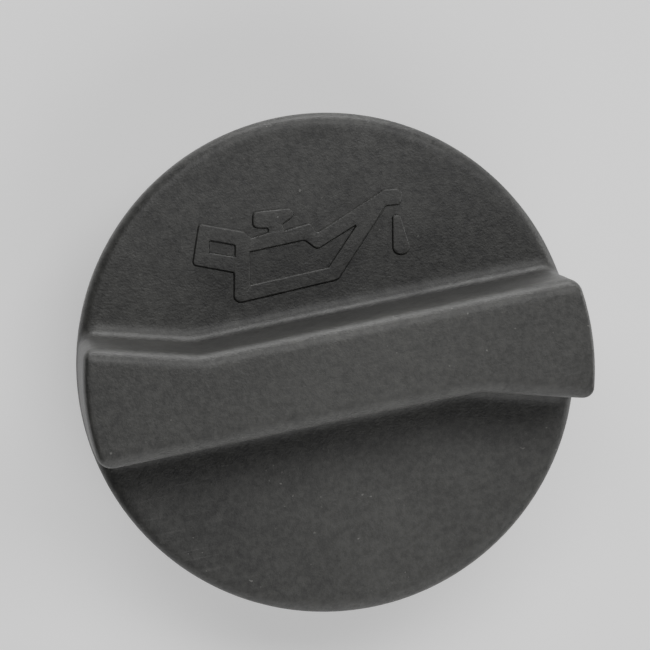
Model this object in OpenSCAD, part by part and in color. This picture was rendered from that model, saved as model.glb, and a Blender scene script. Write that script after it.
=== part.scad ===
// Quarter-turn oil filler cap.
// Z points up along the cap's axis, X runs along the grip, and z = 0 is the spigot's lower end.

/* [Disc] */
// Diameter over the rim
disc_d = 64; // [60:1:72]
// Radius of the disc's top edge
disc_edge_r = 1.5; // [0.8:0.1:2.2]
// Thickness of the disc's plate
plate_t = 2.8; // [2.4:0.1:4]
// Height of the rim's full-width band
rim_h = 3.2; // [2.6:0.1:4.5]
// How far the skirt hangs below that band
skirt_h = 6.4; // [5:0.2:9]
// How far the skirt leans in, from rim to lower edge
skirt_lean = 1.2; // [0.4:0.1:2]
// Wall of the rim and skirt
skirt_wall = 2.2; // [1.8:0.1:3]

/* [Grip] */
// Height of the grip above the disc
grip_h = 15.4; // [10:0.2:20]
// Width of the grip between its straight walls, at the top
grip_w = 11.7; // [10:0.1:15]
// Distance from the axis to where a wall bends out into its flare
grip_bend = 16.5; // [13:0.5:20]
// Angle of the flares
grip_flare = 15; // [8:1:18]
// Radius in plan at the bends
grip_bend_r = 6; // [4:0.5:10]
// Draft of the walls
grip_draft = 2; // [0.5:0.25:3]
// Radius of the grip's top edge
grip_edge_r = 1.8; // [0.8:0.1:2.2]
// Radius in plan at the grip's two square corners
grip_corner_r = 2; // [1.2:0.1:2.4]
// Radius in plan at its two flared corners
grip_flare_r = 1.4; // [1.2:0.1:2.4]
// Radius of the concave blend at the grip's foot
grip_foot_r = 1.6; // [1:0.1:2.6]
// How far the ends of the grip stand back from the rim
grip_setback = 0.15; // [0.1:0.05:0.4]
// Wall of the hollow grip
grip_wall = 2.4; // [1.8:0.1:3]
// Wall at the two ends of the grip
grip_end_wall = 3.2; // [2.8:0.1:4]
// Number of cross webs in the hollow, on each side of the axis
web_count = 2; // [1:1:3]
// Thickness of the webs and of the ribs under the disc
web_t = 1.4; // [1:0.1:2]

/* [Bayonet plug] */
// Outer diameter of the spigot
spigot_d = 34; // [30:0.5:38]
// Wall of the spigot
spigot_wall = 2.4; // [1.8:0.1:3.2]
// Length of the spigot below the seal
spigot_len = 15; // [12:0.5:20]
// Chamfer at the spigot's mouth
spigot_chamfer = 0.8; // [0.4:0.1:1.2]
// Diameter of the flange that carries the seal
flange_d = 46; // [45:0.5:48]
// Thickness of the flange
flange_t = 2.4; // [1.8:0.1:3.5]
// Number of bayonet lugs
lug_count = 2; // [2:1:3]
// How far a lug stands out from the spigot
lug_reach = 3.2; // [2:0.1:3.8]
// Height of a lug
lug_h = 4; // [3:0.1:5]
// Angle that a lug spans
lug_span = 56; // [40:2:70]
// Height of the lugs above the spigot's lower end
lug_lift = 1.6; // [1:0.1:3]
// Slope of the lead-in on top of a lug
lug_ramp = 9; // [4:1:14]
// Angle that the lead-in spans
lug_lead = 20; // [12:1:26]
// Thickness of the stop that ends the quarter turn
stop_t = 2; // [1.4:0.1:3]
// Height of that stop above the lug
stop_h = 2.4; // [1.6:0.1:3.4]
// How far that stop stands out from the spigot
stop_reach = 2.5; // [1.5:0.1:3]
// Number of gussets inside the spigot
gusset_count = 6; // [3:1:8]
// Size of those gussets
gusset_size = 4; // [2:0.5:6]
// Length of the key that turns the plug
key_l = 12; // [8:0.5:16]
// Height of that key above the flange
key_h = 8; // [5:0.5:11]
// Wall of the key
key_wall = 1.6; // [1.2:0.1:2]

/* [Sealing ring] */
// Outer diameter of the ring
seal_d = 43; // [40:0.5:43.5]
// Thickness of the ring
seal_t = 3; // [2:0.1:4]
// Chamfer on the ring's edges
seal_chamfer = 0.4; // [0.2:0.1:0.7]
// Radial height of the bead that keeps the ring on
keeper_reach = 0.5; // [0.3:0.1:0.9]
// Height of that bead
keeper_h = 1; // [0.6:0.1:1.4]

/* [Snap hooks] */
// Thickness of a hook's finger
hook_t = 1.6; // [1.2:0.1:2]
// Angle that a hook spans
hook_span = 17; // [10:1:22]
// How far a hook's nose reaches under the flange
hook_reach = 0.8; // [0.5:0.1:1]
// Height of a hook's nose
hook_nose = 1.6; // [1:0.1:2.4]

/* [Fits] */
// Gap between the flange and what centres it, and round the key
fit_gap = 0.15; // [0.1:0.05:0.3]
// Gap between the ring's bore and the spigot
seal_gap = 0.1; // [0.05:0.05:0.2]

/* [Hidden] */
$fn = 96;
shell_colour = [0.25, 0.25, 0.24];
plug_colour = [0.16, 0.16, 0.17];
seal_colour = [0.36, 0.17, 0.11];

disc_r = disc_d / 2;
spigot_r = spigot_d / 2;
seal_r = seal_d / 2;

// The flange leaves room outside the seal for the noses of the hooks
flange_r = max(flange_d / 2, seal_r + fit_gap + hook_reach);

// Heights of the stack, from the spigot's lower end up
seal_z = spigot_len;
flange_z = seal_z + seal_t;
plate_z = flange_z + flange_t;
disc_z = plate_z + plate_t;
grip_z = disc_z + grip_h;
rim_z = disc_z - rim_h;
skirt_z = rim_z - skirt_h;

// Inner radius of the rim, and the radii of the leaning skirt
rim_in_r = disc_r - skirt_wall;
skirt_r = disc_r - skirt_lean;
skirt_in_r = skirt_r - skirt_wall;

// Depth by which parts of one moulding run into each other, and how far a cut runs past a face
bite = web_t * 0.3;
past = plate_t * 0.4;

// Steps of the rounded edges, and the quarter that they turn through
arc_steps = 5;
corner_steps = 6;
end_steps = 12;

// The ribs and hooks under the disc share one polar pitch
pitch = 22.5;
hook_angles = [45, 135, 225, 315];

// Points of an arc round a centre
function arc(centre, r, from, to, steps) =
    [for (i = [0 : steps]) let (a = from + (to - from) * i / steps) centre + r * [cos(a), sin(a)]];

function polar_angle(p) = let (a = atan2(p[1], p[0])) a < 0 ? a + 360 : a;

// Centre of the corner arc of radius r between a wall and the end arc. The wall's outward
// normal points at normal_angle, the wall lies dist from the axis, and side is 1 or -1.
function corner_centre(normal_angle, dist, end_r, r, side) =
    let (n = [cos(normal_angle), sin(normal_angle)], t = side * [-n[1], n[0]],
         across = dist - r, reach = end_r - r)
    across * n + sqrt(reach * reach - across * across) * t;

// Left half of the grip's outline, anticlockwise: the bend, the flared corner, the end and
// the square corner. grow moves the walls out, end_r is the radius of the end, and rounder is
// added to the radii of the corners.
function grip_half(half_w, grow, end_r, rounder) =
    let (flare_normal = 90 - grip_flare,
         flare_dist = half_w * cos(grip_flare) - grip_bend * sin(grip_flare) + grow,
         bend_centre = [-grip_bend + grip_bend_r * tan(grip_flare / 2), half_w + grip_bend_r],
         flare_r = max(grip_flare_r + rounder, bite), corner_r = max(grip_corner_r + rounder, bite),
         flared = corner_centre(flare_normal, flare_dist, end_r, flare_r, 1),
         square_ = corner_centre(270, half_w + grow, end_r, corner_r, -1),
         end_from = polar_angle(flared), end_to = polar_angle(square_))
    concat(arc(bend_centre, grip_bend_r - grow, 270, 270 - grip_flare, arc_steps),
           arc(flared, flare_r, flare_normal, end_from, corner_steps),
           [for (i = [1 : end_steps - 1]) let (a = end_from + (end_to - end_from) * i / end_steps)
               end_r * [cos(a), sin(a)]],
           arc(square_, corner_r, end_to, 270, corner_steps));

// The whole outline has the same form after half a turn
function grip_outline(half_w, grow, end_r, rounder) =
    let (half = grip_half(half_w, grow, end_r, rounder)) concat(half, [for (p = half) -p]);

// The flat end of a loft in convex faces: a fan from each square corner covers one half of the
// outline, and a face with four corners covers the middle.
function end_faces(n, first) =
    concat([for (half = [0, n / 2]) for (i = [0 : n / 2 - 3])
                [first + half + i, first + half + i + 1, first + half + n / 2 - 1]],
           [[first + n - 1, first, first + n / 2 - 1, first + n / 2]]);

// A solid through a stack of sections. Each section is [z, grow, end_r, rounder].
module grip_loft(half_w, sections) {
    rings = [for (s = sections) [for (p = grip_outline(half_w, s[1], s[2], s[3])) [p[0], p[1], s[0]]]];
    n = len(rings[0]);
    last = len(rings) - 1;
    sides = [for (k = [0 : last - 1]) for (i = [0 : n - 1])
        [k * n + i, (k + 1) * n + i, (k + 1) * n + (i + 1) % n, k * n + (i + 1) % n]];
    roof = [for (f = end_faces(n, last * n)) [for (k = [len(f) - 1 : -1 : 0]) f[k]]];
    polyhedron(points = [for (ring = rings) each ring], faces = concat(end_faces(n, 0), sides, roof));
}

// Half width of the grip where its walls are widest, at the foot
wall_top = grip_z - grip_edge_r;
function wall_grow(z) = (wall_top - z) * tan(grip_draft);

module grip_outside() {
    end_r = disc_r - grip_setback;
    foot_top = disc_z + grip_foot_r;
    foot = [for (i = [0 : arc_steps]) let (a = (90 - grip_draft) * i / arc_steps)
        let (out = grip_foot_r * (1 - sin(a)), z = foot_top - grip_foot_r * cos(a))
        [z, wall_grow(foot_top) + out, end_r, wall_grow(foot_top) + out]];
    edge = [for (i = [0 : arc_steps]) let (a = 90 * i / arc_steps)
        let (in_ = grip_edge_r * (1 - cos(a)))
        [wall_top + grip_edge_r * sin(a), -in_, end_r - in_, -in_]];
    sunk = [[disc_z - disc_edge_r - bite, foot[0][1], end_r, foot[0][3]]];
    grip_loft(grip_w / 2, concat(sunk, foot, edge));
}

// The room inside the grip. sunk_in moves its walls and its roof into the plastic.
module grip_hollow(sunk_in = 0) {
    roof = grip_z - grip_wall + sunk_in;
    end_r = disc_r - grip_end_wall + sunk_in;
    inset = grip_wall - sunk_in;
    grip_loft(grip_w / 2, [
        [plate_z - past, wall_grow(plate_z) - inset, end_r, -inset],
        [roof, wall_grow(roof) - inset, end_r, -inset]]);
}

// Cross webs that tie the two walls of the hollow grip together
module grip_webs() {
    first = key_l / 2 + web_t + fit_gap;
    step = (disc_r - grip_end_wall - first) / web_count;
    intersection() {
        grip_hollow(bite);
        for (side = [-1, 1]) for (i = [0 : web_count - 1])
            translate([side * (first + i * step) - web_t / 2, -disc_r, plate_z + bite])
                cube([web_t, disc_d, grip_h]);
    }
}

module rim_and_skirt() {
    rotate_extrude() difference() {
        union() {
            translate([0, plate_z]) square([disc_r - disc_edge_r, plate_t]);
            translate([0, rim_z]) square([disc_r, rim_h - disc_edge_r]);
            translate([disc_r - disc_edge_r, disc_z - disc_edge_r]) circle(r = disc_edge_r);
            polygon([[0, rim_z], [disc_r, rim_z], [skirt_r, skirt_z], [0, skirt_z]]);
        }
        polygon([[0, plate_z], [rim_in_r, plate_z], [rim_in_r, rim_z],
                 [skirt_in_r, skirt_z - past], [0, skirt_z - past]]);
    }
}

// One snap hook, hanging from the plate with its nose under the flange
module hook() {
    in_r = flange_r + fit_gap;
    nose_z = flange_z - fit_gap;
    rotate([0, 0, -hook_span / 2]) rotate_extrude(angle = hook_span)
        polygon([[in_r, plate_z + bite], [in_r, nose_z], [flange_r - hook_reach, nose_z],
                 [flange_r - hook_reach, nose_z - hook_nose / 3], [in_r, nose_z - hook_nose],
                 [in_r + hook_t, nose_z - hook_nose], [in_r + hook_t, plate_z + bite]]);
}

// One rib from the skirt to the flange's edge
module rib() {
    in_r = flange_r + fit_gap;
    translate([in_r, -web_t / 2, flange_z])
        cube([rim_in_r + bite - in_r, web_t, plate_z + bite - flange_z]);
}

module cap_shell() {
    color(shell_colour) {
        difference() {
            union() {
                rim_and_skirt();
                grip_outside();
            }
            grip_hollow();
        }
        grip_webs();
        for (a = hook_angles) rotate([0, 0, a]) hook();
        for (a = [pitch : pitch : 360 - pitch])
            if (a % 180 != 0 && len(search(a, hook_angles)) == 0) rotate([0, 0, a]) rib();
    }
}

// Spigot with its closed roof, its flange and the bead that keeps the seal on
module spigot() {
    in_r = spigot_r - spigot_wall;
    keeper_z = seal_z - seal_gap - keeper_h;
    rotate_extrude() {
        difference() {
            polygon([[0, 0], [spigot_r - spigot_chamfer, 0], [spigot_r, spigot_chamfer],
                     [spigot_r, flange_z + bite], [0, flange_z + bite]]);
            translate([0, -past]) square([in_r, flange_z + past]);
        }
        translate([0, flange_z]) square([flange_r, flange_t]);
        polygon([[spigot_r - bite, keeper_z - bite], [spigot_r, keeper_z],
                 [spigot_r + keeper_reach, keeper_z + keeper_h / 2],
                 [spigot_r + keeper_reach, keeper_z + keeper_h], [spigot_r - bite, keeper_z + keeper_h]]);
    }
}

// Section of a lug: a block on the spigot's wall with its lower edge chamfered
module lug_section(top_z, span) {
    out_r = spigot_r + lug_reach;
    rotate_extrude(angle = span)
        polygon([[spigot_r - bite, lug_lift], [out_r - spigot_chamfer, lug_lift],
                 [out_r, lug_lift + spigot_chamfer], [out_r, top_z], [spigot_r - bite, top_z]]);
}

// One bayonet lug: its top slopes down at the leading end, and an upright stop closes the other
module lug() {
    out_r = spigot_r + lug_reach;
    top_z = lug_lift + lug_h;
    stop_span = stop_t / out_r * 180 / PI;
    rotate([0, 0, lug_lead]) {
        lug_section(top_z, lug_span - lug_lead);
        intersection() {
            rotate([0, 0, -lug_lead]) lug_section(top_z, lug_lead);
            rotate([90, 0, 90]) linear_extrude(out_r)
                polygon([[0, 0], [0, top_z], [-out_r, top_z - out_r * tan(lug_ramp)], [-out_r, 0]]);
        }
    }
    rotate([0, 0, lug_span - stop_span / 2]) rotate_extrude(angle = stop_span)
        translate([spigot_r - bite, lug_lift + spigot_chamfer])
            square([stop_reach + bite, lug_h - spigot_chamfer + stop_h]);
}

// Gusset between the spigot's wall and its roof
module gusset() {
    in_r = spigot_r - spigot_wall;
    rotate([90, 0, 0]) translate([0, 0, -web_t / 2]) linear_extrude(web_t)
        polygon([[in_r + bite, flange_z - gusset_size], [in_r, flange_z - gusset_size],
                 [in_r - gusset_size, flange_z], [in_r - gusset_size, flange_z + bite],
                 [in_r + bite, flange_z + bite]]);
}

// Open box on top of the flange that fits inside the hollow grip and turns the plug
module drive_key() {
    top_z = plate_z + key_h;
    half_w = grip_w / 2 - grip_wall + wall_grow(top_z) - fit_gap;
    translate([0, 0, plate_z - bite]) difference() {
        translate([-key_l / 2, -half_w, 0]) cube([key_l, 2 * half_w, key_h + bite]);
        translate([-key_l / 2 + key_wall, -half_w + key_wall, bite])
            cube([key_l - 2 * key_wall, 2 * (half_w - key_wall), key_h + past]);
    }
}

module bayonet_plug() {
    color(plug_colour) {
        spigot();
        for (i = [0 : lug_count - 1]) rotate([0, 0, 90 - lug_span / 2 + 360 * i / lug_count]) lug();
        for (i = [0 : gusset_count - 1]) rotate([0, 0, 360 * i / gusset_count]) gusset();
        drive_key();
    }
}

module sealing_ring() {
    in_r = spigot_r + seal_gap;
    c = seal_chamfer;
    color(seal_colour) translate([0, 0, seal_z]) rotate_extrude()
        polygon([[in_r, c], [in_r + c, 0], [seal_r - c, 0], [seal_r, c],
                 [seal_r, seal_t - c], [seal_r - c, seal_t], [in_r + c, seal_t], [in_r, seal_t - c]]);
}

cap_shell();
bayonet_plug();
sealing_ring();
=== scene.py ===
# %% [markdown]
# # An oil filler cap, built in cells
# The object is a dark plastic cap that closes the oil filler of an engine. Seen from above it is a
# flat disc with a tall bar across it, and fingers turn the cap by that bar. The construction model
# already holds every piece at its real size. Here each piece gets the surface that it has in the
# photograph: soft moulded edges, a fine matt grain, small scuffs and a raised oil-can sign.
#
# The first cell loads that construction model. Everything that follows is measured in its frame:
# metres, Z up along the cap's axis, X along the bar.

# %% Load the frame
from math import atan2, cos, degrees, hypot, radians, sin, sqrt, tan

import bmesh
import bpy
from mathutils import Matrix, Vector


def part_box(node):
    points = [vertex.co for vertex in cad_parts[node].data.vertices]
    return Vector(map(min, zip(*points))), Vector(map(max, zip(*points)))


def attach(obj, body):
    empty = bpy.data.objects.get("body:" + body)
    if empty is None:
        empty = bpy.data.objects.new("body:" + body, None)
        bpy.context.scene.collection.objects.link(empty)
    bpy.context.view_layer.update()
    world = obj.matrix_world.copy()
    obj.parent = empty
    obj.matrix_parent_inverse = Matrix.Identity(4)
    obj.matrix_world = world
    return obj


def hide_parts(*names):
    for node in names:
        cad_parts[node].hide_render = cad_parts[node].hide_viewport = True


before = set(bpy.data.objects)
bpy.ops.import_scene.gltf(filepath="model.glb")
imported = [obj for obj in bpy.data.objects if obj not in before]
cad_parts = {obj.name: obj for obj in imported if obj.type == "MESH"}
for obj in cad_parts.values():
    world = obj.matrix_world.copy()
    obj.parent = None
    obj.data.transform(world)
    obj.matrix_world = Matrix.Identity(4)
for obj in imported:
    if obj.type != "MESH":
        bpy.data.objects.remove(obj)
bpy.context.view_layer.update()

shell_low, shell_high = (Vector(corner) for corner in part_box("cap_shell"))
ring_high = Vector(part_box("sealing_ring")[1])
plug_high = Vector(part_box("bayonet_plug")[1])
print("shell", [round(v * 1000, 2) for v in shell_high - shell_low], "mm")

# %% [markdown]
# ## Sizes
# Most heights follow from the boxes of the construction's nodes. The flange and the plate above the
# sealing ring add the rest. Only a few sizes of the mould are typed in, all in millimetres times MM.

# %% Sizes of the shell
MM = 0.001
FLANGE_THICK = 2.4 * MM
PLATE_THICK = 2.8 * MM

disc_radius = shell_high.x
grip_top = shell_high.z
skirt_bottom = shell_low.z
plate_bottom = ring_high.z + FLANGE_THICK
disc_top = plate_bottom + PLATE_THICK
print("disc top at", round(disc_top / MM, 2), "mm, grip", round((grip_top - disc_top) / MM, 2), "mm tall")

# %% [markdown]
# ## Camera
# The photograph looks almost straight down, from a little to the upper left. The long lens keeps the
# perspective weak. The tilts and the turn were fitted to the rim's outline and the bar's edges, and
# the camera's place follows from them: the middle of the disc falls on one pixel of the photograph.

# %% Camera
PHOTO_SIZE = 650
DISC_PIXEL = (328.5, 364.4)
PIXELS_PER_MM = 7.853
VIEW_DISTANCE = 458 * MM
TILT_X = radians(3.94)
TILT_Y = radians(6.09)
TURN_Z = radians(11.20)
SENSOR = 36

tilt = Matrix.Rotation(TILT_X, 3, "X") @ Matrix.Rotation(TILT_Y, 3, "Y")
to_view = tilt @ Matrix.Rotation(TURN_Z, 3, "Z")
half = PHOTO_SIZE / 2
pixel = MM / PIXELS_PER_MM
in_view = Vector(((half - DISC_PIXEL[0]) * pixel, (DISC_PIXEL[1] - half) * pixel, VIEW_DISTANCE))
place = to_view.transposed() @ in_view + Vector((0, 0, disc_top))

camera_data = bpy.data.cameras.new("photo_camera")
camera_data.sensor_width = SENSOR
camera_data.lens = SENSOR * VIEW_DISTANCE / (PHOTO_SIZE * pixel)
camera_data.clip_start = 0.01
camera = bpy.data.objects.new("photo_camera", camera_data)
bpy.context.collection.objects.link(camera)
camera.matrix_world = Matrix.Translation(place) @ to_view.transposed().to_4x4()
bpy.context.scene.camera = camera
print("lens", round(camera_data.lens, 1), "mm, camera at", [round(v, 3) for v in place])

# %% [markdown]
# ## Floor and light
# The photograph is cut out on white, so the floor is plain and pale, with a faint glow of its own.
# Two low strips, beyond the top and at the right of the picture, draw the bright line on the concave
# foot of the bar and the light edges that face them. A panel overhead lights the flat faces, and two
# weaker lights from below the picture keep the shadow under the bar soft.

# %% Floor
FLOOR_SIZE = 1.6

bpy.ops.object.select_all(action="DESELECT")
bpy.ops.mesh.primitive_plane_add(size=FLOOR_SIZE, location=(0, 0, 0))
floor = bpy.context.object
floor.name = "studio_floor"

floor_paint = bpy.data.materials.new("floor_paint")
floor_paint.use_nodes = True
floor_shader = floor_paint.node_tree.nodes["Principled BSDF"]
floor_shader.inputs["Base Color"].default_value = (0.86, 0.86, 0.86, 1)
floor_shader.inputs["Roughness"].default_value = 0.7
floor_shader.inputs["Emission Color"].default_value = (1, 1, 1, 1)
floor_shader.inputs["Emission Strength"].default_value = 0.28
floor.data.materials.append(floor_paint)
print("floor", FLOOR_SIZE, "m wide")


# %% Lights
def soft_light(name, azimuth, elevation, distance, size, watts):
    """An area light that looks at the disc. Azimuth 0 is beyond the top of the picture."""
    up_in_view = to_view.transposed() @ Vector((0, 1, 0))
    right_in_view = to_view.transposed() @ Vector((1, 0, 0))
    toward = cos(azimuth) * up_in_view + sin(azimuth) * right_in_view
    flat = Vector((toward.x, toward.y, 0)).normalized()
    aim = cos(elevation) * flat + Vector((0, 0, sin(elevation)))
    data = bpy.data.lights.new(name, "AREA")
    data.shape = "RECTANGLE"
    data.size, data.size_y = size
    data.energy = watts
    lamp = bpy.data.objects.new(name, data)
    bpy.context.collection.objects.link(lamp)
    target = Vector((0, 0, disc_top))
    lamp.location = target + distance * aim
    lamp.rotation_euler = aim.to_track_quat("Z", "Y").to_euler()
    print(name, [round(v, 2) for v in lamp.location])


soft_light("horizon_strip", radians(0), radians(6), 0.6, (0.4, 0.08), 3.1)
soft_light("right_strip", radians(80), radians(6), 0.6, (0.4, 0.08), 2.0)
soft_light("overhead_panel", radians(5), radians(65), 0.6, (0.5, 0.2), 2.6)
soft_light("low_front_strip", radians(180), radians(15), 0.6, (0.6, 0.15), 1.3)
soft_light("front_panel", radians(155), radians(50), 0.6, (0.4, 0.3), 1.4)

world = bpy.data.worlds.new("studio_air")
bpy.context.scene.world = world
world.use_nodes = True
world.node_tree.nodes["Background"].inputs["Color"].default_value = (1, 1, 1, 1)
world.node_tree.nodes["Background"].inputs["Strength"].default_value = 0.02

# %% [markdown]
# ## Tools for modelling
# Every piece below starts as a primitive and is shaped with the same few moves: pick vertices, edges
# or faces by their place, then extrude, bevel, bisect or move them. These helpers keep each move to
# one line. Everything is deselected first, because an operator acts on all that is selected.

# %% Modelling helpers
SHARP_ANGLE = radians(30)


def activate(obj):
    """Makes this the only selected object."""
    if bpy.context.object and bpy.context.object.mode != "OBJECT":
        bpy.ops.object.mode_set(mode="OBJECT")
    bpy.ops.object.select_all(action="DESELECT")
    obj.select_set(True)
    bpy.context.view_layer.objects.active = obj


def pick(obj, kind, test):
    """Opens edit mode with only the elements selected whose points all pass the test."""
    activate(obj)
    bpy.ops.object.mode_set(mode="EDIT")
    bpy.ops.mesh.select_mode(type=kind)
    bpy.ops.mesh.select_all(action="DESELECT")
    bpy.ops.object.mode_set(mode="OBJECT")
    points = [vertex.co for vertex in obj.data.vertices]
    items = {"VERT": obj.data.vertices, "EDGE": obj.data.edges, "FACE": obj.data.polygons}[kind]
    picked = 0
    for item in items:
        own = [item.co] if kind == "VERT" else [points[i] for i in item.vertices]
        item.select = all(test(p) for p in own)
        picked += item.select
    bpy.ops.object.mode_set(mode="EDIT")
    return picked


def done(obj):
    """Leaves edit mode and writes the object's place into its mesh."""
    activate(obj)
    bpy.ops.object.transform_apply(location=True, rotation=True, scale=True)
    return obj


def add_modifier(obj, kind, **settings):
    """Adds a modifier, applies it and gives the new number of faces."""
    activate(obj)
    modifier = obj.modifiers.new(kind.lower(), kind)
    for name, value in settings.items():
        setattr(modifier, name, value)
    bpy.ops.object.modifier_apply(modifier=modifier.name)
    return len(obj.data.polygons)


def combine(obj, other, operation):
    """Boolean with another object, which is used up."""
    add_modifier(obj, "BOOLEAN", object=other, operation=operation, solver="MANIFOLD")
    bpy.data.objects.remove(other, do_unlink=True)
    return obj


def cut_across(obj, point, normal):
    """Adds an edge loop where a plane crosses the whole mesh."""
    pick(obj, "FACE", lambda p: True)
    bpy.ops.mesh.bisect(plane_co=point, plane_no=normal, threshold=1e-7)
    bpy.ops.object.mode_set(mode="OBJECT")


def pick_corners(obj, test):
    """Opens edit mode with the sharp edges selected whose midpoints pass the test."""
    pick(obj, "EDGE", lambda p: False)
    mesh = bmesh.from_edit_mesh(obj.data)
    picked = 0
    for edge in mesh.edges:
        sharp = edge.is_manifold and edge.calc_face_angle() > SHARP_ANGLE
        if sharp and test((edge.verts[0].co + edge.verts[1].co) / 2):
            edge.select_set(True)
            picked += 1
    bmesh.update_edit_mesh(obj.data)
    return picked


def near(a, b, within=0.01 * MM):
    return abs(a - b) < within


# %% [markdown]
# ## The disc
# On the real cap the disc, the bar and the skirt are one moulding. A drum is the right start: it gets
# one more loop where the rim's straight band ends, its lower ring is drawn in to make the leaning
# skirt, and the top edge is bevelled to the radius that shows as a soft line all round.

# %% Disc and skirt
EDGE_RADIUS = 1.5 * MM
RIM_HEIGHT = 3.2 * MM
SKIRT_LEAN = 1.2 * MM
DRUM_SIDES = 256


def drum(name, radius, low, high):
    """A closed cylinder on the cap's axis."""
    bpy.ops.object.select_all(action="DESELECT")
    bpy.ops.mesh.primitive_cylinder_add(vertices=DRUM_SIDES, radius=radius, depth=high - low,
                                        location=(0, 0, (low + high) / 2))
    bpy.context.object.name = name
    return done(bpy.context.object)


rim_bottom = disc_top - RIM_HEIGHT
shell = drum("cap_shell_skin", disc_radius, skirt_bottom, disc_top)
cut_across(shell, (0, 0, rim_bottom), (0, 0, 1))
pick(shell, "VERT", lambda p: near(p.z, skirt_bottom))
lean = (disc_radius - SKIRT_LEAN) / disc_radius
bpy.ops.transform.resize(value=(lean, lean, 1))
pick(shell, "EDGE", lambda p: near(p.z, disc_top))
bpy.ops.mesh.bevel(offset=EDGE_RADIUS, segments=6, affect="EDGES")
done(shell)
print("disc", len(shell.data.polygons), "faces")

# %% [markdown]
# ## The bar
# Seen from above the bar is like a stretched S: its walls run straight through the middle, and each
# end flares to one side only. Upwards its walls sweep out of the disc in a concave foot, lean in by
# the mould's draft and end in a rounded edge, which is tighter at the two ends of the bar. A block
# with bevels could follow the plan or the section, but not both. So the plan is worked out from arcs,
# and a grid is wrapped through a stack of such outlines, each as wide as the section at its height.

# %% Outline of the bar
GRIP_WIDTH = 11.7 * MM
GRIP_BEND = 16.5 * MM
GRIP_FLARE = 15
BEND_RADIUS = 6 * MM
SQUARE_CORNER = 2.0 * MM
FLARED_CORNER = 1.4 * MM
SMALLEST_CORNER = 0.4 * MM


def arc(centre, radius, start, end, steps):
    """Points of an arc seen from above, with angles in degrees."""
    angles = [radians(start + (end - start) * i / steps) for i in range(steps + 1)]
    return [centre + radius * Vector((cos(a), sin(a))) for a in angles]


def corner_centre(facing, wall_distance, end_radius, radius, side):
    """Centre of the arc that rounds the corner between a wall and the end of the bar."""
    normal = Vector((cos(radians(facing)), sin(radians(facing))))
    along = side * Vector((-normal.y, normal.x))
    across, reach = wall_distance - radius, end_radius - radius
    return across * normal + sqrt(reach ** 2 - across ** 2) * along


def polar_angle(point):
    return degrees(atan2(point.y, point.x)) % 360


def bar_outline(grow, end_radius, rounder):
    """The plan: grow moves the walls out, and rounder is added to the corner radii."""
    half_width, flare = GRIP_WIDTH / 2, radians(GRIP_FLARE)
    flare_distance = half_width * cos(flare) - GRIP_BEND * sin(flare) + grow
    bend = Vector((-GRIP_BEND + BEND_RADIUS * tan(flare / 2), half_width + BEND_RADIUS))
    flared_radius = max(FLARED_CORNER + rounder, SMALLEST_CORNER)
    square_radius = max(SQUARE_CORNER + rounder, SMALLEST_CORNER)
    flared = corner_centre(90 - GRIP_FLARE, flare_distance, end_radius, flared_radius, 1)
    square = corner_centre(270, half_width + grow, end_radius, square_radius, -1)
    end_start, end_stop = polar_angle(flared), polar_angle(square)
    points = arc(bend, BEND_RADIUS - grow, 270, 270 - GRIP_FLARE, 8)
    points += arc(flared, flared_radius, 90 - GRIP_FLARE, end_start, 10)
    points += arc(Vector((0, 0)), end_radius, end_start, end_stop, 32)[1:-1]
    points += arc(square, square_radius, end_stop, 270, 10)
    return points + [-p for p in points]


def loft(name, sections):
    """A closed skin through a stack of outlines. A section is height, grow, end radius, rounder."""
    rings = [[(p.x, p.y, z) for p in bar_outline(*shape)] for z, *shape in sections]
    around = len(rings[0])
    bpy.ops.object.select_all(action="DESELECT")
    bpy.ops.mesh.primitive_grid_add(x_subdivisions=around, y_subdivisions=len(rings) - 1)
    skin = bpy.context.object
    skin.name = name
    for index, vertex in enumerate(skin.data.vertices):
        level, step = divmod(index, around + 1)
        vertex.co = rings[level][step % around]
    pick(skin, "VERT", lambda p: True)
    bpy.ops.mesh.remove_doubles(threshold=0.001 * MM)
    bpy.ops.mesh.select_all(action="SELECT")
    bpy.ops.mesh.fill_holes(sides=0)
    bpy.ops.mesh.select_all(action="SELECT")
    bpy.ops.mesh.normals_make_consistent(inside=False)
    return done(skin)


# %% Bar across the disc
GRIP_DRAFT = radians(2)
GRIP_EDGE = 1.8 * MM
END_EDGE = 0.6 * MM
FOOT_RADIUS = 1.6 * MM
END_SETBACK = 0.15 * MM
ROOT_DEPTH = 2 * MM
SECTION_STEPS = 10

edge_start = grip_top - GRIP_EDGE
foot_end = disc_top + FOOT_RADIUS
end_radius = disc_radius - END_SETBACK


def drafted(z):
    """How much wider a wall stands at this height than below the top edge."""
    return (edge_start - z) * tan(GRIP_DRAFT)


sections = []
for i in range(SECTION_STEPS + 1):
    turn = (radians(90) - GRIP_DRAFT) * i / SECTION_STEPS
    out = drafted(foot_end) + FOOT_RADIUS * (1 - sin(turn))
    sections.append((foot_end - FOOT_RADIUS * cos(turn), out, end_radius, out))
sections.insert(0, (disc_top - ROOT_DEPTH, *sections[0][1:]))
for i in range(SECTION_STEPS + 1):
    turn = radians(90) * i / SECTION_STEPS
    inward = GRIP_EDGE * (1 - cos(turn))
    end_inward = END_EDGE * (1 - cos(turn))
    sections.append((edge_start + GRIP_EDGE * sin(turn), -inward, end_radius - end_inward, -inward))
bar = loft("grip_bar", sections)
print("bar", len(bar.data.polygons), "faces in", len(sections), "sections")
combine(shell, bar, "UNION")
print("bar and disc in one", len(shell.data.polygons), "faces")

# %% [markdown]
# ## One soft skin
# A mould leaves no sharp inner corner, and where the bar's foot, its upright corners and the rim run
# into each other no bevel can follow. So the whole skin is remeshed into an even net of small faces,
# and the net is relaxed only along the foot.

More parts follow.
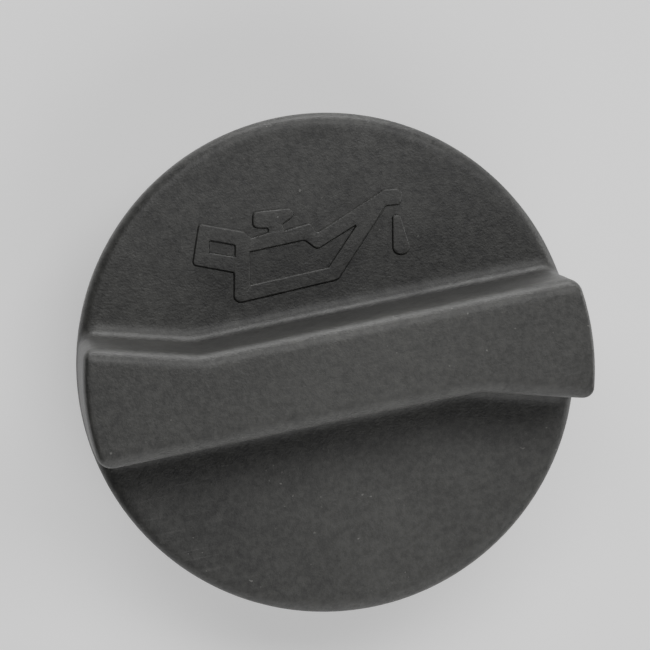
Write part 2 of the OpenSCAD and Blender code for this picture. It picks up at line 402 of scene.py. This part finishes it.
# %% Even net
VOXEL = 0.3 * MM
faces = add_modifier(shell, "REMESH", mode="VOXEL", voxel_size=VOXEL, use_smooth_shade=True)
print("even net of", faces, "faces")


# %% Relax the foot
FULLY_RELAXED = 1.2 * MM
NOT_RELAXED = 3 * MM
RELAX_HEIGHT = 4 * MM
RELAX_ROUNDS = 10


def wall_distance(x, y):
    """How far a point lies outside the nearer long wall, seen from above."""
    if y < 0:
        x, y = -x, -y
    flare = radians(GRIP_FLARE)
    past_bend = max(0.0, -GRIP_BEND - x)
    slope = cos(flare) if past_bend else 1
    return (y - GRIP_WIDTH / 2 - past_bend * tan(flare)) * slope


def fade(distance, full, none):
    """1 up to the first distance, 0 from the second, and smooth between."""
    t = min(1.0, max(0.0, (none - distance) / (none - full)))
    return t * t * (3 - 2 * t)


def foot_weight(p):
    if p.z < disc_top - EDGE_RADIUS * 1.5 or p.z > disc_top + RELAX_HEIGHT:
        return 0
    out = wall_distance(p.x, p.y) - drafted(disc_top) - FOOT_RADIUS / 2
    return fade(hypot(out, p.z - disc_top), FULLY_RELAXED, NOT_RELAXED)


def relax(obj, name, weight, rounds):
    """Smooths the net where the weight of a point is above nothing."""
    group = obj.vertex_groups.new(name=name)
    touched = 0
    for vertex in obj.data.vertices:
        w = weight(vertex.co)
        if w > 0.01:
            group.add([vertex.index], w, "REPLACE")
            touched += 1
    add_modifier(obj, "SMOOTH", factor=0.5, iterations=rounds, vertex_group=name)
    obj.vertex_groups.remove(obj.vertex_groups[name])
    print(name, touched, "points relaxed")


relax(shell, "bar_foot", foot_weight, RELAX_ROUNDS)

# %% [markdown]
# ## The underside of the shell
# Turned over, the cap is a dish. The bar is hollow, as thick plastic would sink and warp, and webs
# tie its two walls together. Ribs stiffen the disc, and four hooks hold the inner plug. The dish and
# the hollow are cut away, and the ribs, webs and hooks are modelled once each and copied round.

# %% Dish and hollow
SKIRT_WALL = 2.2 * MM
GRIP_WALL = 2.4 * MM
END_WALL = 3.2 * MM
BELOW = 1 * MM

dish_radius = disc_radius - SKIRT_WALL
dish = drum("dish", dish_radius, skirt_bottom - BELOW, plate_bottom)
cut_across(dish, (0, 0, rim_bottom), (0, 0, 1))
pick(dish, "VERT", lambda p: near(p.z, skirt_bottom - BELOW))
dish_lean = (dish_radius - SKIRT_LEAN) / dish_radius
bpy.ops.transform.resize(value=(dish_lean, dish_lean, 1))
done(dish)
combine(shell, dish, "DIFFERENCE")

hollow_top = grip_top - GRIP_WALL
hollow_end = disc_radius - END_WALL
hollow = loft("hollow", [(z, drafted(z) - GRIP_WALL, hollow_end, -GRIP_WALL)
                         for z in (plate_bottom - BELOW, hollow_top)])
combine(shell, hollow, "DIFFERENCE")
print("hollow shell", len(shell.data.polygons), "faces")

# %% Ribs and webs
WEB_THICK = 1.4 * MM
FIT_GAP = 0.15 * MM
BITE = 0.4 * MM
KEY_LENGTH = 12 * MM
RIB_PITCH = 22.5
HOOK_ANGLES = (45, 135, 225, 315)

flange_radius = plug_high.x
flange_bottom = ring_high.z
rib_start = flange_radius + FIT_GAP


def block(name, low, high):
    """A closed box between two corners."""
    low, high = Vector(low), Vector(high)
    bpy.ops.object.select_all(action="DESELECT")
    bpy.ops.mesh.primitive_cube_add(size=1, location=(low + high) / 2, scale=high - low)
    bpy.context.object.name = name
    return done(bpy.context.object)


def turned_copy(obj, angle):
    """A copy with its own mesh, turned about the cap's axis."""
    twin = obj.copy()
    twin.data = obj.data.copy()
    bpy.context.collection.objects.link(twin)
    twin.rotation_euler = (0, 0, angle)
    return done(twin)


def join(parts, name):
    """Makes one object of several."""
    activate(parts[0])
    for part in parts:
        part.select_set(True)
    bpy.ops.object.join()
    parts[0].name = name
    return parts[0]


rib = block("rib", (rib_start, -WEB_THICK / 2, flange_bottom),
            (dish_radius + BITE, WEB_THICK / 2, plate_bottom + BITE))
rib_angles = [RIB_PITCH * i for i in range(1, 16) if i != 8 and RIB_PITCH * i not in HOOK_ANGLES]
inner_parts = [turned_copy(rib, radians(a)) for a in rib_angles]
bpy.data.objects.remove(rib)

first_web = KEY_LENGTH / 2 + WEB_THICK + FIT_GAP
web_step = (disc_radius - END_WALL - first_web) / 2
web_reach = GRIP_WIDTH / 2 - GRIP_WALL + BITE
for side in (-1, 1):
    for x in (side * first_web, side * (first_web + web_step)):
        inner_parts.append(block("web", (x - WEB_THICK / 2, -web_reach, plate_bottom),
                                 (x + WEB_THICK / 2, web_reach, hollow_top + BITE)))
print(len(rib_angles), "ribs and 4 webs")

# %% [markdown]
# A hook is a finger with a sloped nose that springs over the plug's flange. Its section is a filled
# circle of seven points, each moved to a corner of the outline, and a spin about the axis gives it
# its width.

# %% Hooks
HOOK_THICK = 1.6 * MM
HOOK_SPAN = radians(17)
HOOK_REACH = 0.8 * MM
HOOK_NOSE = 1.6 * MM


def filled_outline(name, points):
    """A flat face whose corners are these points."""
    bpy.ops.object.select_all(action="DESELECT")
    bpy.ops.mesh.primitive_circle_add(vertices=len(points), radius=1, fill_type="NGON")
    sheet = bpy.context.object
    sheet.name = name
    for vertex, point in zip(sheet.data.vertices, points):
        vertex.co = point
    return sheet


nose_top = flange_bottom - FIT_GAP
outline = ((rib_start, plate_bottom + BITE), (rib_start, nose_top), (flange_radius - HOOK_REACH, nose_top),
           (flange_radius - HOOK_REACH, nose_top - HOOK_NOSE / 3), (rib_start, nose_top - HOOK_NOSE),
           (rib_start + HOOK_THICK, nose_top - HOOK_NOSE), (rib_start + HOOK_THICK, plate_bottom + BITE))
hook = filled_outline("hook", [(x, 0, z) for x, z in outline])
pick(hook, "FACE", lambda p: True)
bpy.ops.mesh.spin(steps=4, angle=HOOK_SPAN, center=(0, 0, 0), axis=(0, 0, 1))
pick(hook, "FACE", lambda p: True)
bpy.ops.mesh.normals_make_consistent(inside=False)
done(hook)
inner_parts += [turned_copy(hook, radians(a) - HOOK_SPAN / 2) for a in HOOK_ANGLES]
bpy.data.objects.remove(hook)
combine(shell, join(inner_parts, "inner_parts"), "UNION")
print("finished shell", len(shell.data.polygons), "faces")

# %% [markdown]
# ## The oil-can sign
# Above the bar the mould left a raised outline of an oil can with a drop at its spout, the usual sign
# for engine oil. Its corners are listed in millimetres from the cap's axis, each with the radius that
# rounds it. The outline is extruded to a low slab, and the two windows are cut out. Its walls flare
# towards the deck and its upper edges are rounded, because they draw the thin light and dark lines. A
# face round two windows can fold over itself, so the flat top is then filled again with triangles.

# %% Sign
SIGN_HEIGHT = 0.35 * MM
SIGN_SINK = 0.3 * MM
SIGN_EDGE = 0.14 * MM
SIGN_FLARE = 0.3 * MM

CAN = ((-12.7, 20.8, 0.4), (-14.5, 15.9, 0.5), (-9.5, 13.9, 0.2), (-10.3, 10.0, 0.8), (3.3, 10.4, 0.8),
       (11.1, 18.4, 0.4), (13.0, 18.2, 0.5), (13.5, 20.1, 0.6), (11.3, 20.4, 0.5), (1.8, 16.7, 0.3),
       (1.2, 18.1, 0.5), (-2.2, 17.8, 0.1), (-2.4, 18.7, 0.3), (-0.8, 19.4, 0.6), (-0.6, 20.4, 0.6),
       (-5.7, 20.9, 0.6), (-6.1, 19.0, 0.6), (-4.2, 18.6, 0.2), (-4.2, 18.0, 0.2), (-6.5, 17.7, 0.3),
       (-7.3, 18.7, 0.3))
HANDLE_WINDOW = ((-11.8, 18.5, 0.1), (-12.2, 17.0, 0.1), (-9.0, 15.8, 0.1), (-8.7, 17.3, 0.1))
CAN_WINDOW = ((-7.1, 16.1, 0.1), (-7.9, 11.9, 0.2), (2.4, 12.1, 0.2), (7.2, 16.9, 0.1), (1.4, 14.7, 0.7),
              (0.1, 16.2, 0.8))
DROP = ((11.7, 16.9, 0.3), (10.8, 12.1, 0.9), (13.2, 11.7, 0.9), (12.6, 16.9, 0.3))


def rounded(corners, steps=4):
    """Replaces each corner of an outline by an arc of its own radius."""
    points = []
    for i, (x, y, radius) in enumerate(corners):
        here = Vector((x, y))
        back = (Vector(corners[i - 1][:2]) - here).normalized()
        ahead = (Vector(corners[(i + 1) % len(corners)][:2]) - here).normalized()
        half_angle = back.angle(ahead) / 2
        centre = here + (back + ahead).normalized() * radius / sin(half_angle)
        start = here + back * radius / tan(half_angle) - centre
        turn = start.angle_signed(here + ahead * radius / tan(half_angle) - centre)
        for k in range(steps + 1):
            a = -turn * k / steps
            points.append((centre + Matrix.Rotation(a, 2) @ start) * MM)
    return points


def slab(name, corners, low, high):
    """A flat slab with a rounded outline, between two heights."""
    sheet = filled_outline(name, [(p.x, p.y, low) for p in rounded(corners)])
    pick(sheet, "FACE", lambda p: True)
    bpy.ops.mesh.extrude_region_move(TRANSFORM_OT_translate={"value": (0, 0, high - low)})
    pick(sheet, "FACE", lambda p: True)
    bpy.ops.mesh.normals_make_consistent(inside=False)
    return done(sheet)


sign_low, sign_high = disc_top - SIGN_SINK, disc_top + SIGN_HEIGHT
sign = slab("oil_can_sign", CAN, sign_low, sign_high)
for window in (HANDLE_WINDOW, CAN_WINDOW):
    combine(sign, slab("window", window, sign_low - SIGN_SINK, sign_high + SIGN_SINK), "DIFFERENCE")
sign = join([sign, slab("drop", DROP, sign_low, sign_high)], "oil_can_sign")
pick(sign, "VERT", lambda p: near(p.z, sign_low))
bpy.ops.transform.shrink_fatten(value=SIGN_FLARE)
rounded_edges = pick_corners(sign, lambda p: near(p.z, sign_high))
bpy.ops.mesh.bevel(offset=SIGN_EDGE, segments=3, affect="EDGES")
pick(sign, "FACE", lambda p: near(p.z, sign_high))
bpy.ops.mesh.delete(type="FACE")
pick(sign, "EDGE", lambda p: near(p.z, sign_high))
bpy.ops.mesh.fill(use_beauty=True)
pick(sign, "FACE", lambda p: True)
bpy.ops.mesh.normals_make_consistent(inside=False)
done(sign)
print("sign", len(sign.data.polygons), "faces,", rounded_edges, "edges rounded")

# %% [markdown]
# ## Plug and sealing ring
# Both are turned forms, so the construction's own meshes already have the right shape. A copy of each
# is merged, because the triangles come loose, and its edges are broken by a small bevel, as on any
# moulded piece. At the end every piece is shaded smooth across its gentle edges only, and the large
# flat faces of the sign keep their own direction.

# %% Plug and ring
MERGE = 0.001 * MM
BROKEN_EDGE = 0.12 * MM
FLAT_ANGLE = radians(0.5)
BEVEL_ANGLE = radians(40)
SMOOTH_ANGLE = radians(32)


def softened_copy(node, name):
    """A merged copy of a node with small bevels on its sharp edges."""
    source = bpy.data.objects[node]
    twin = source.copy()
    twin.data = source.data.copy()
    twin.name = name
    bpy.context.collection.objects.link(twin)
    pick(twin, "VERT", lambda p: True)
    bpy.ops.mesh.remove_doubles(threshold=MERGE)
    bpy.ops.mesh.select_all(action="SELECT")
    bpy.ops.mesh.dissolve_limited(angle_limit=FLAT_ANGLE)
    done(twin)
    add_modifier(twin, "BEVEL", width=BROKEN_EDGE, segments=2, limit_method="ANGLE",
                 angle_limit=BEVEL_ANGLE)
    print(name, len(twin.data.polygons), "faces")
    return twin


plug = softened_copy("bayonet_plug", "plug_moulding")
ring = softened_copy("sealing_ring", "seal_moulding")
for piece in (shell, sign, plug, ring):
    activate(piece)
    bpy.ops.object.shade_smooth_by_angle(angle=SMOOTH_ANGLE)
add_modifier(sign, "WEIGHTED_NORMAL", weight=100, keep_sharp=True)

# %% [markdown]
# ## Shader maths
# The finishes below are sums and products of noise patterns. To write them as plain expressions, a
# small class wraps a shader socket, and each operator adds the Math node that it stands for.

# %% Maths on sockets
class Value:
    """A number that varies over the surface."""

    def __init__(self, recipe, socket):
        self.recipe = recipe
        self.socket = socket

    def maths(self, operation, first, second):
        return self.recipe.node("ShaderNodeMath", {"operation": operation}, {0: first, 1: second})

    def __add__(self, other):
        return self.maths("ADD", self, other)

    def __sub__(self, other):
        return self.maths("SUBTRACT", self, other)

    def __rsub__(self, other):
        return self.maths("SUBTRACT", other, self)

    def __mul__(self, other):
        return self.maths("MULTIPLY", self, other)

    __radd__ = __add__
    __rmul__ = __mul__

    def over(self, low, high):
        """0 below one level, 1 above another, and smooth between."""
        return self.recipe.node("ShaderNodeMapRange", {"interpolation_type": "SMOOTHSTEP"},
                                {"Value": self, "From Min": low, "From Max": high})


class Recipe:
    """A material in the making."""

    def __init__(self, name):
        self.material = bpy.data.materials.new(name)
        self.material.use_nodes = True
        self.tree = self.material.node_tree
        self.shader = self.tree.nodes["Principled BSDF"]
        coordinates = self.tree.nodes.new("ShaderNodeTexCoord")
        self.place = Value(self, coordinates.outputs["Object"])

    def put(self, socket, value):
        if isinstance(value, Value):
            self.tree.links.new(value.socket, socket)
        else:
            socket.default_value = value

    def node(self, kind, settings, inputs, output=0):
        made = self.tree.nodes.new(kind)
        for name, value in settings.items():
            setattr(made, name, value)
        for name, value in inputs.items():
            self.put(made.inputs[name], value)
        return Value(self, made.outputs[output])

    def noise(self, size, detail=2.0, roughness=0.5, stretch=(1, 1, 1), turn=0.0):
        """Noise whose lumps are about this size in metres."""
        where = self.node("ShaderNodeMapping", {}, {"Vector": self.place, "Scale": stretch,
                                                    "Rotation": (0, 0, turn)})
        return self.node("ShaderNodeTexNoise", {}, {"Vector": where, "Scale": 1 / size, "Detail": detail,
                                                    "Roughness": roughness})

    def mixed(self, share, first, second):
        """A colour between two others."""
        return self.node("ShaderNodeMix", {"data_type": "RGBA"}, {0: share, 6: first, 7: second}, 2)

    def patch(self, centre, reach):
        """1 at a point, and smoothly down to 0 at this distance from it."""
        points = {0: self.place, 1: centre}
        distance = self.node("ShaderNodeVectorMath", {"operation": "DISTANCE"}, points, 1)
        return 1 - distance.over(0, reach)

    def bump(self, height, distance, strength=1.0):
        inputs = {"Height": height, "Distance": distance, "Strength": strength}
        return self.node("ShaderNodeBump", {}, inputs)

    def finish(self, colour, roughness, normal=None, specular=0.5):
        self.put(self.shader.inputs["Base Color"], colour)
        self.put(self.shader.inputs["Roughness"], roughness)
        self.put(self.shader.inputs["Specular IOR Level"], specular)
        if normal:
            self.put(self.shader.inputs["Normal"], normal)
        return self.material


# %% [markdown]
# ## Moulded plastic
# The cap is black plastic with glass fibre, gone grey from use. Close up it has a very fine grain, a
# cloudy mottle a few millimetres wide, a few pale specks, and faint scratches where it has been wiped.
# The grain and the scratches go into the bump as well, so that they catch the light. The grey is painted
# paler in three places: along the top of the bar as painted light, and on the deck below it and left of
# the sign as partly uneven grey and partly painted light. Each of these places has a centre, a reach and a
# share of grey that fades out from the centre.

# %% Shell plastic
# Painted light: the paler grey on the top of the bar stands in for light on it.
GRIP_TOP_PAINTED_LIGHT = (3 * MM, 0, grip_top), 50 * MM, 0.3
# The deck's paler places are partly uneven grey and partly painted light, a painted sheen on the lower
# deck.
DECK_GREY_AND_PAINTED_LIGHT = (((6 * MM, -24 * MM, disc_top), 30 * MM, 0.28),
             ((-22 * MM, 12 * MM, disc_top), 13 * MM, 0.27))
SCRATCHED_PLACE = (-22 * MM, -19 * MM, disc_top), 14 * MM


def shell_plastic():
    mix = Recipe("shell_plastic_finish")

    height = mix.node("ShaderNodeSeparateXYZ", {}, {"Vector": mix.place}, 2)
    on_grip = height.over(grip_top - 4 * MM, grip_top - 1 * MM)
    grain = mix.noise(0.3 * MM, 2, 0.6)
    fine = mix.noise(0.9 * MM, 4, 0.8)
    mottle = mix.noise(5 * MM, 8, 0.75)
    cloud = mix.noise(14 * MM, 2, 0.5)
    specks = mix.noise(0.5 * MM, 0, 0.0).over(0.83, 0.87) * cloud.over(0.45, 0.6)
    strokes = mix.noise(0.6 * MM, 2, 0.5, (0.04, 1, 1), radians(35)).over(0.6, 0.7)
    wiped = strokes * mix.patch(*SCRATCHED_PLACE)
    tone = 0.3 * mottle + 0.6 * fine + 0.1 * cloud
    centre, reach, share = GRIP_TOP_PAINTED_LIGHT
    # The patches added here paint light: paler on the bar's top, and partly on the deck.
    grey_and_painted_light = 0.5 * tone.over(0.34, 0.66) + share * mix.patch(centre, reach) * on_grip
    for centre, reach, share in DECK_GREY_AND_PAINTED_LIGHT:
        grey_and_painted_light = grey_and_painted_light + share * mix.patch(centre, reach)
    colour = mix.mixed(grey_and_painted_light + 0.2 * wiped, (0.006, 0.006, 0.0056, 1), (0.062, 0.062, 0.0575, 1))
    colour = mix.mixed(specks * 0.6, colour, (0.15, 0.15, 0.14, 1))
    roughness = 0.56 - 0.12 * mottle + 0.06 * cloud
    relief = grain + 0.6 * mottle + 0.5 * fine - 0.5 * wiped
    return mix.finish(colour, roughness, mix.bump(relief, 0.05 * MM, 0.9))


shell_finish = shell_plastic()
print("shell plastic", len(shell_finish.node_tree.nodes), "shader nodes")

# %% [markdown]
# ## Plug plastic and rubber
# The plug stays clean inside the engine's filler neck, so its plastic keeps a finer satin. The rubber
# of the ring is dull, with a slight grey bloom in clouds.

# %% Plug plastic and seal rubber
def plug_plastic():
    mix = Recipe("plug_plastic_finish")
    grain = mix.noise(0.25 * MM, 2, 0.5)
    cloud = mix.noise(6 * MM, 3, 0.6)
    colour = mix.mixed(cloud.over(0.35, 0.65), (0.018, 0.018, 0.019, 1), (0.028, 0.028, 0.028, 1))
    return mix.finish(colour, 0.36 + 0.14 * cloud, mix.bump(grain, 0.01 * MM, 0.5))


def seal_rubber():
    mix = Recipe("seal_rubber_finish")
    grain = mix.noise(0.3 * MM, 2, 0.5)
    bloom = mix.noise(4 * MM, 4, 0.6).over(0.45, 0.75)
    colour = mix.mixed(bloom, (0.012, 0.012, 0.012, 1), (0.03, 0.03, 0.029, 1))
    return mix.finish(colour, 0.62 + 0.18 * bloom, mix.bump(grain, 0.015 * MM, 0.6))


def dress(obj, material):
    """Gives a piece this one material."""
    obj.data.materials.clear()
    obj.data.materials.append(material)
    print(obj.name, "wears", material.name)


dress(shell, shell_finish)
dress(sign, shell_finish)
dress(plug, plug_plastic())
dress(ring, seal_rubber())

# %% [markdown]
# ## On the cap's body
# Each new piece rides on the one body of the cap, and the construction's nodes that the new pieces
# replace are hidden.

# %% Ride and replace
for piece, slot in ((shell, "shell_plastic"), (sign, "shell_plastic"),
                    (plug, "plug_plastic"), (ring, "seal_rubber")):
    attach(piece, "root")
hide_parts("cap_shell")
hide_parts("bayonet_plug")
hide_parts("sealing_ring")
bpy.ops.object.select_all(action="DESELECT")
